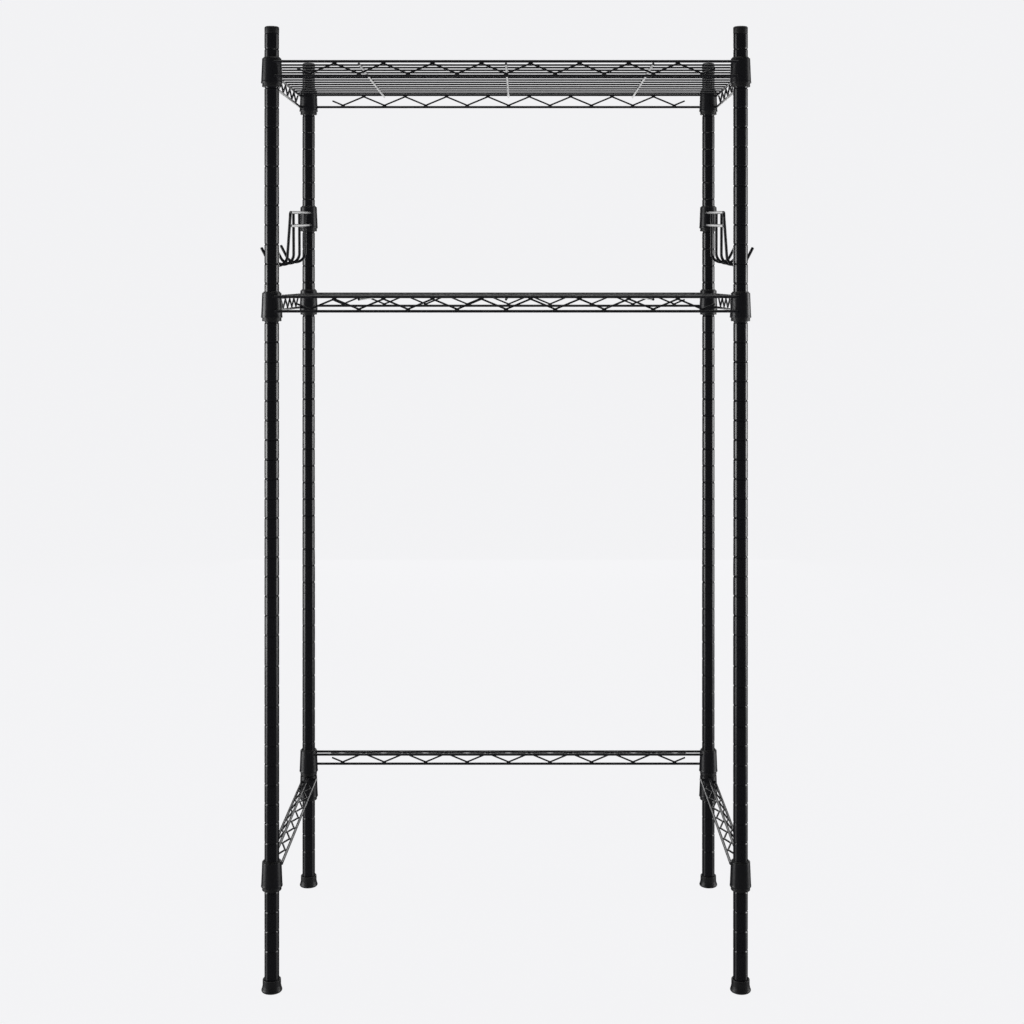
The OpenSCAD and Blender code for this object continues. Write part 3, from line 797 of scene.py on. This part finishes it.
for side, way in (("left", -1), ("right", 1)):
    place = rackPlace(way)
    body = side + "_rack"
    topZ = rack["rise"]
    lowZ = rack["rise"] - rack["apart"]
    bm = bmesh.new()
    starts = []
    for z in (topZ, lowZ):
        starts.append(-wireEndsAtCollars(rack["inward"], levelOf["rack"] + z, levelOf["rack"]))
    front = -rack["reach"]
    bendR = rack["cornerBend"]
    path = [(0, starts[0], topZ), (0, front + bendR, topZ)]
    for k in range(1, 7):
        angle = math.pi / 2 + math.pi / 2 * k / 6
        path.append((0, front + bendR + bendR * math.cos(angle), topZ - bendR + bendR * math.sin(angle)))
    path += hookPoints(0, front, topZ - bendR)[1:]
    sweepWire(bm, [place(p) for p in path], rack["radius"], sides["rack"], True)
    lowBar = [place((0, starts[1], lowZ)), place((0, front + 0.6, lowZ))]
    sweepWire(bm, lowBar, rack["radius"], sides["rack"], False)
    weldBead(bm, place((0, front + 1.2, lowZ)), bead["barEnd"], (0, 1, 0))
    for start, z in zip(starts, (topZ, lowZ)):
        weldToCollar(bm, place((0, start, z)), rack["radius"], (0, 1, 0))
    addObject(side + "RackWires", bm, wireCoat, body, [side + "_rack_wires"])
    bm = bmesh.new()
    across = 2 * rack["radius"] - wire["weld"]
    for k in range(1, rack["hooks"]):
        y = front + k * rack["pitch"]
        path = hookPoints(across, y, topZ)
        sweepWire(bm, [place(p) for p in path], rack["radius"], sides["rack"], True)
        for z in (topZ, lowZ):
            weldBead(bm, place((across / 2, y, z)), bead["hookBack"], (1, 0, 0))
    addObject(side + "RackHooks", bm, wireCoat, body, [side + "_rack_hooks"])
print("hook racks made")

# feet

foot = dict(
    wide=27.0, tall=16.0, flange=4.0, flare=4.0, rim=11.3, bore=9.8,
    floorUp=5.0, screw=3.95, screwUp=3.0, edge=0.6,
)
for corner in corners:
    x, y = postAt[corner]
    half = foot["wide"] / 2
    outline = [
        (0.001, 0), (half - 1.0, 0), (half, 1.1), (half, foot["flange"] - 1.6),
        (half - 0.7, foot["flange"]), (foot["rim"] + 0.6, foot["flange"] + foot["flare"]),
        (foot["rim"] + 0.55, foot["tall"] - 2.2), (foot["rim"] + 0.5, foot["tall"] - 0.5),
        (foot["rim"], foot["tall"]), (foot["bore"], foot["tall"]), (foot["bore"], foot["floorUp"]),
        (foot["screw"], foot["floorUp"]), (foot["screw"], foot["screwUp"]), (0.001, foot["screwUp"]),
    ]
    bm = bmesh.new()
    lathe(bm, roundedOutline(outline, foot["edge"], 4), (x, y, 0), sides["foot"])
    addObject("foot_" + corner, bm, mouldedBlack, "foot_" + corner, ["foot_" + corner])

# the metal inside keeps its shape and gets its finish

for name in ["joint_studs", "joint_nuts", "foot_nuts"] + ["foot_screw_" + c for c in corners]:
    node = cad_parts[name]
    node.data.materials.clear()
    node.data.materials.append(zincPlate)
print("feet and inner metal made")

# floor, lights and camera

studio = dict(
    paleTone=(0.89, 0.89, 0.905, 1), roomTone=0.02, floorWide=60,
    panelWide=1.5, overheadWatts=20, rearWatts=18,
)


def stagePlane(name, size, place, material):
    bm = bmesh.new()
    bmesh.ops.create_grid(bm, x_segments=1, y_segments=1, size=size / 2)
    mesh = bpy.data.meshes.new(name)
    bm.to_mesh(mesh)
    bm.free()
    mesh.materials.append(material)
    obj = bpy.data.objects.new(name, mesh)
    obj.location = place
    bpy.context.scene.collection.objects.link(obj)
    return obj


paleFloor = bpy.data.materials.new("paleFloor")
paleFloor.use_nodes = True
shader = paleFloor.node_tree.nodes["Principled BSDF"]
shader.inputs["Base Color"].default_value = (0.025, 0.025, 0.026, 1)
shader.inputs["Roughness"].default_value = 0.9
shader.inputs["Specular IOR Level"].default_value = 0.0
shader.inputs["Emission Color"].default_value = studio["paleTone"]
shader.inputs["Emission Strength"].default_value = 1.0
floor = stagePlane("floor", studio["floorWide"], (0, 10, 0), paleFloor)
floor.visible_glossy = False

world = bpy.data.worlds.new("studioRoom")
bpy.context.scene.world = world
world.use_nodes = True
tree = world.node_tree
background = tree.nodes["Background"]
background.inputs["Color"].default_value = (studio["roomTone"],) * 3 + (1,)
seen = tree.nodes.new("ShaderNodeBackground")
seen.inputs["Color"].default_value = studio["paleTone"]
path = tree.nodes.new("ShaderNodeLightPath")
mix = tree.nodes.new("ShaderNodeMixShader")
tree.links.new(path.outputs["Is Camera Ray"], mix.inputs["Fac"])
tree.links.new(background.outputs[0], mix.inputs[1])
tree.links.new(seen.outputs[0], mix.inputs[2])
tree.links.new(mix.outputs[0], tree.nodes["World Output"].inputs["Surface"])


def softbox(name, place, aim, wide, tall, watts):
    light = bpy.data.lights.new(name, "AREA")
    light.shape = "RECTANGLE"
    light.size = wide
    light.size_y = tall
    light.energy = watts
    obj = bpy.data.objects.new(name, light)
    obj.location = place
    obj.rotation_euler = (Vector(aim) - Vector(place)).to_track_quat("-Z", "Y").to_euler()
    obj.visible_camera = False
    bpy.context.scene.collection.objects.link(obj)


# two walls of stacked panels beside the rack: lower edge, upper edge and radiance of each
sidePanels = (
    (-1.5, -0.5, 0.55), (-0.5, -0.15, 1.3), (-0.15, 0.3, 3.4),
    (0.3, 0.95, 5.4), (0.95, 1.3, 3.1), (1.3, 1.8, 1.5),
)
for side, x, y, strength in (("Left", -2.7, -0.3, 1.1), ("Right", 2.7, 0.4, 0.95)):
    for number, (low, high, radiance) in enumerate(sidePanels):
        z = (low + high) / 2
        watts = strength * radiance * math.pi * studio["panelWide"] * (high - low)
        softbox(f"panel{side}{number}", (x, y, z), (0, y, z), studio["panelWide"], high - low, watts)
softbox("overhead", (0, 0.2, 3.2), (0, 0, 0), 1.8, 1.8, studio["overheadWatts"])
softbox("rearGlow", (0, 2.9, 0.9), (0, 0, 0.9), 1.8, 1.8, studio["rearWatts"])

camera = bpy.data.cameras.new("camera")
camera.lens = 54.69
camera.sensor_width = 36
camera.shift_x = -0.0099
camera.shift_y = -0.2303
cameraObject = bpy.data.objects.new("camera", camera)
cameraObject.location = (0.0208, -2.2, 0.93)
cameraObject.rotation_euler = (math.radians(90), 0, 0)
bpy.context.scene.collection.objects.link(cameraObject)
bpy.context.scene.camera = cameraObject
bpy.context.scene.view_settings.view_transform = "Standard"
print("studio made")
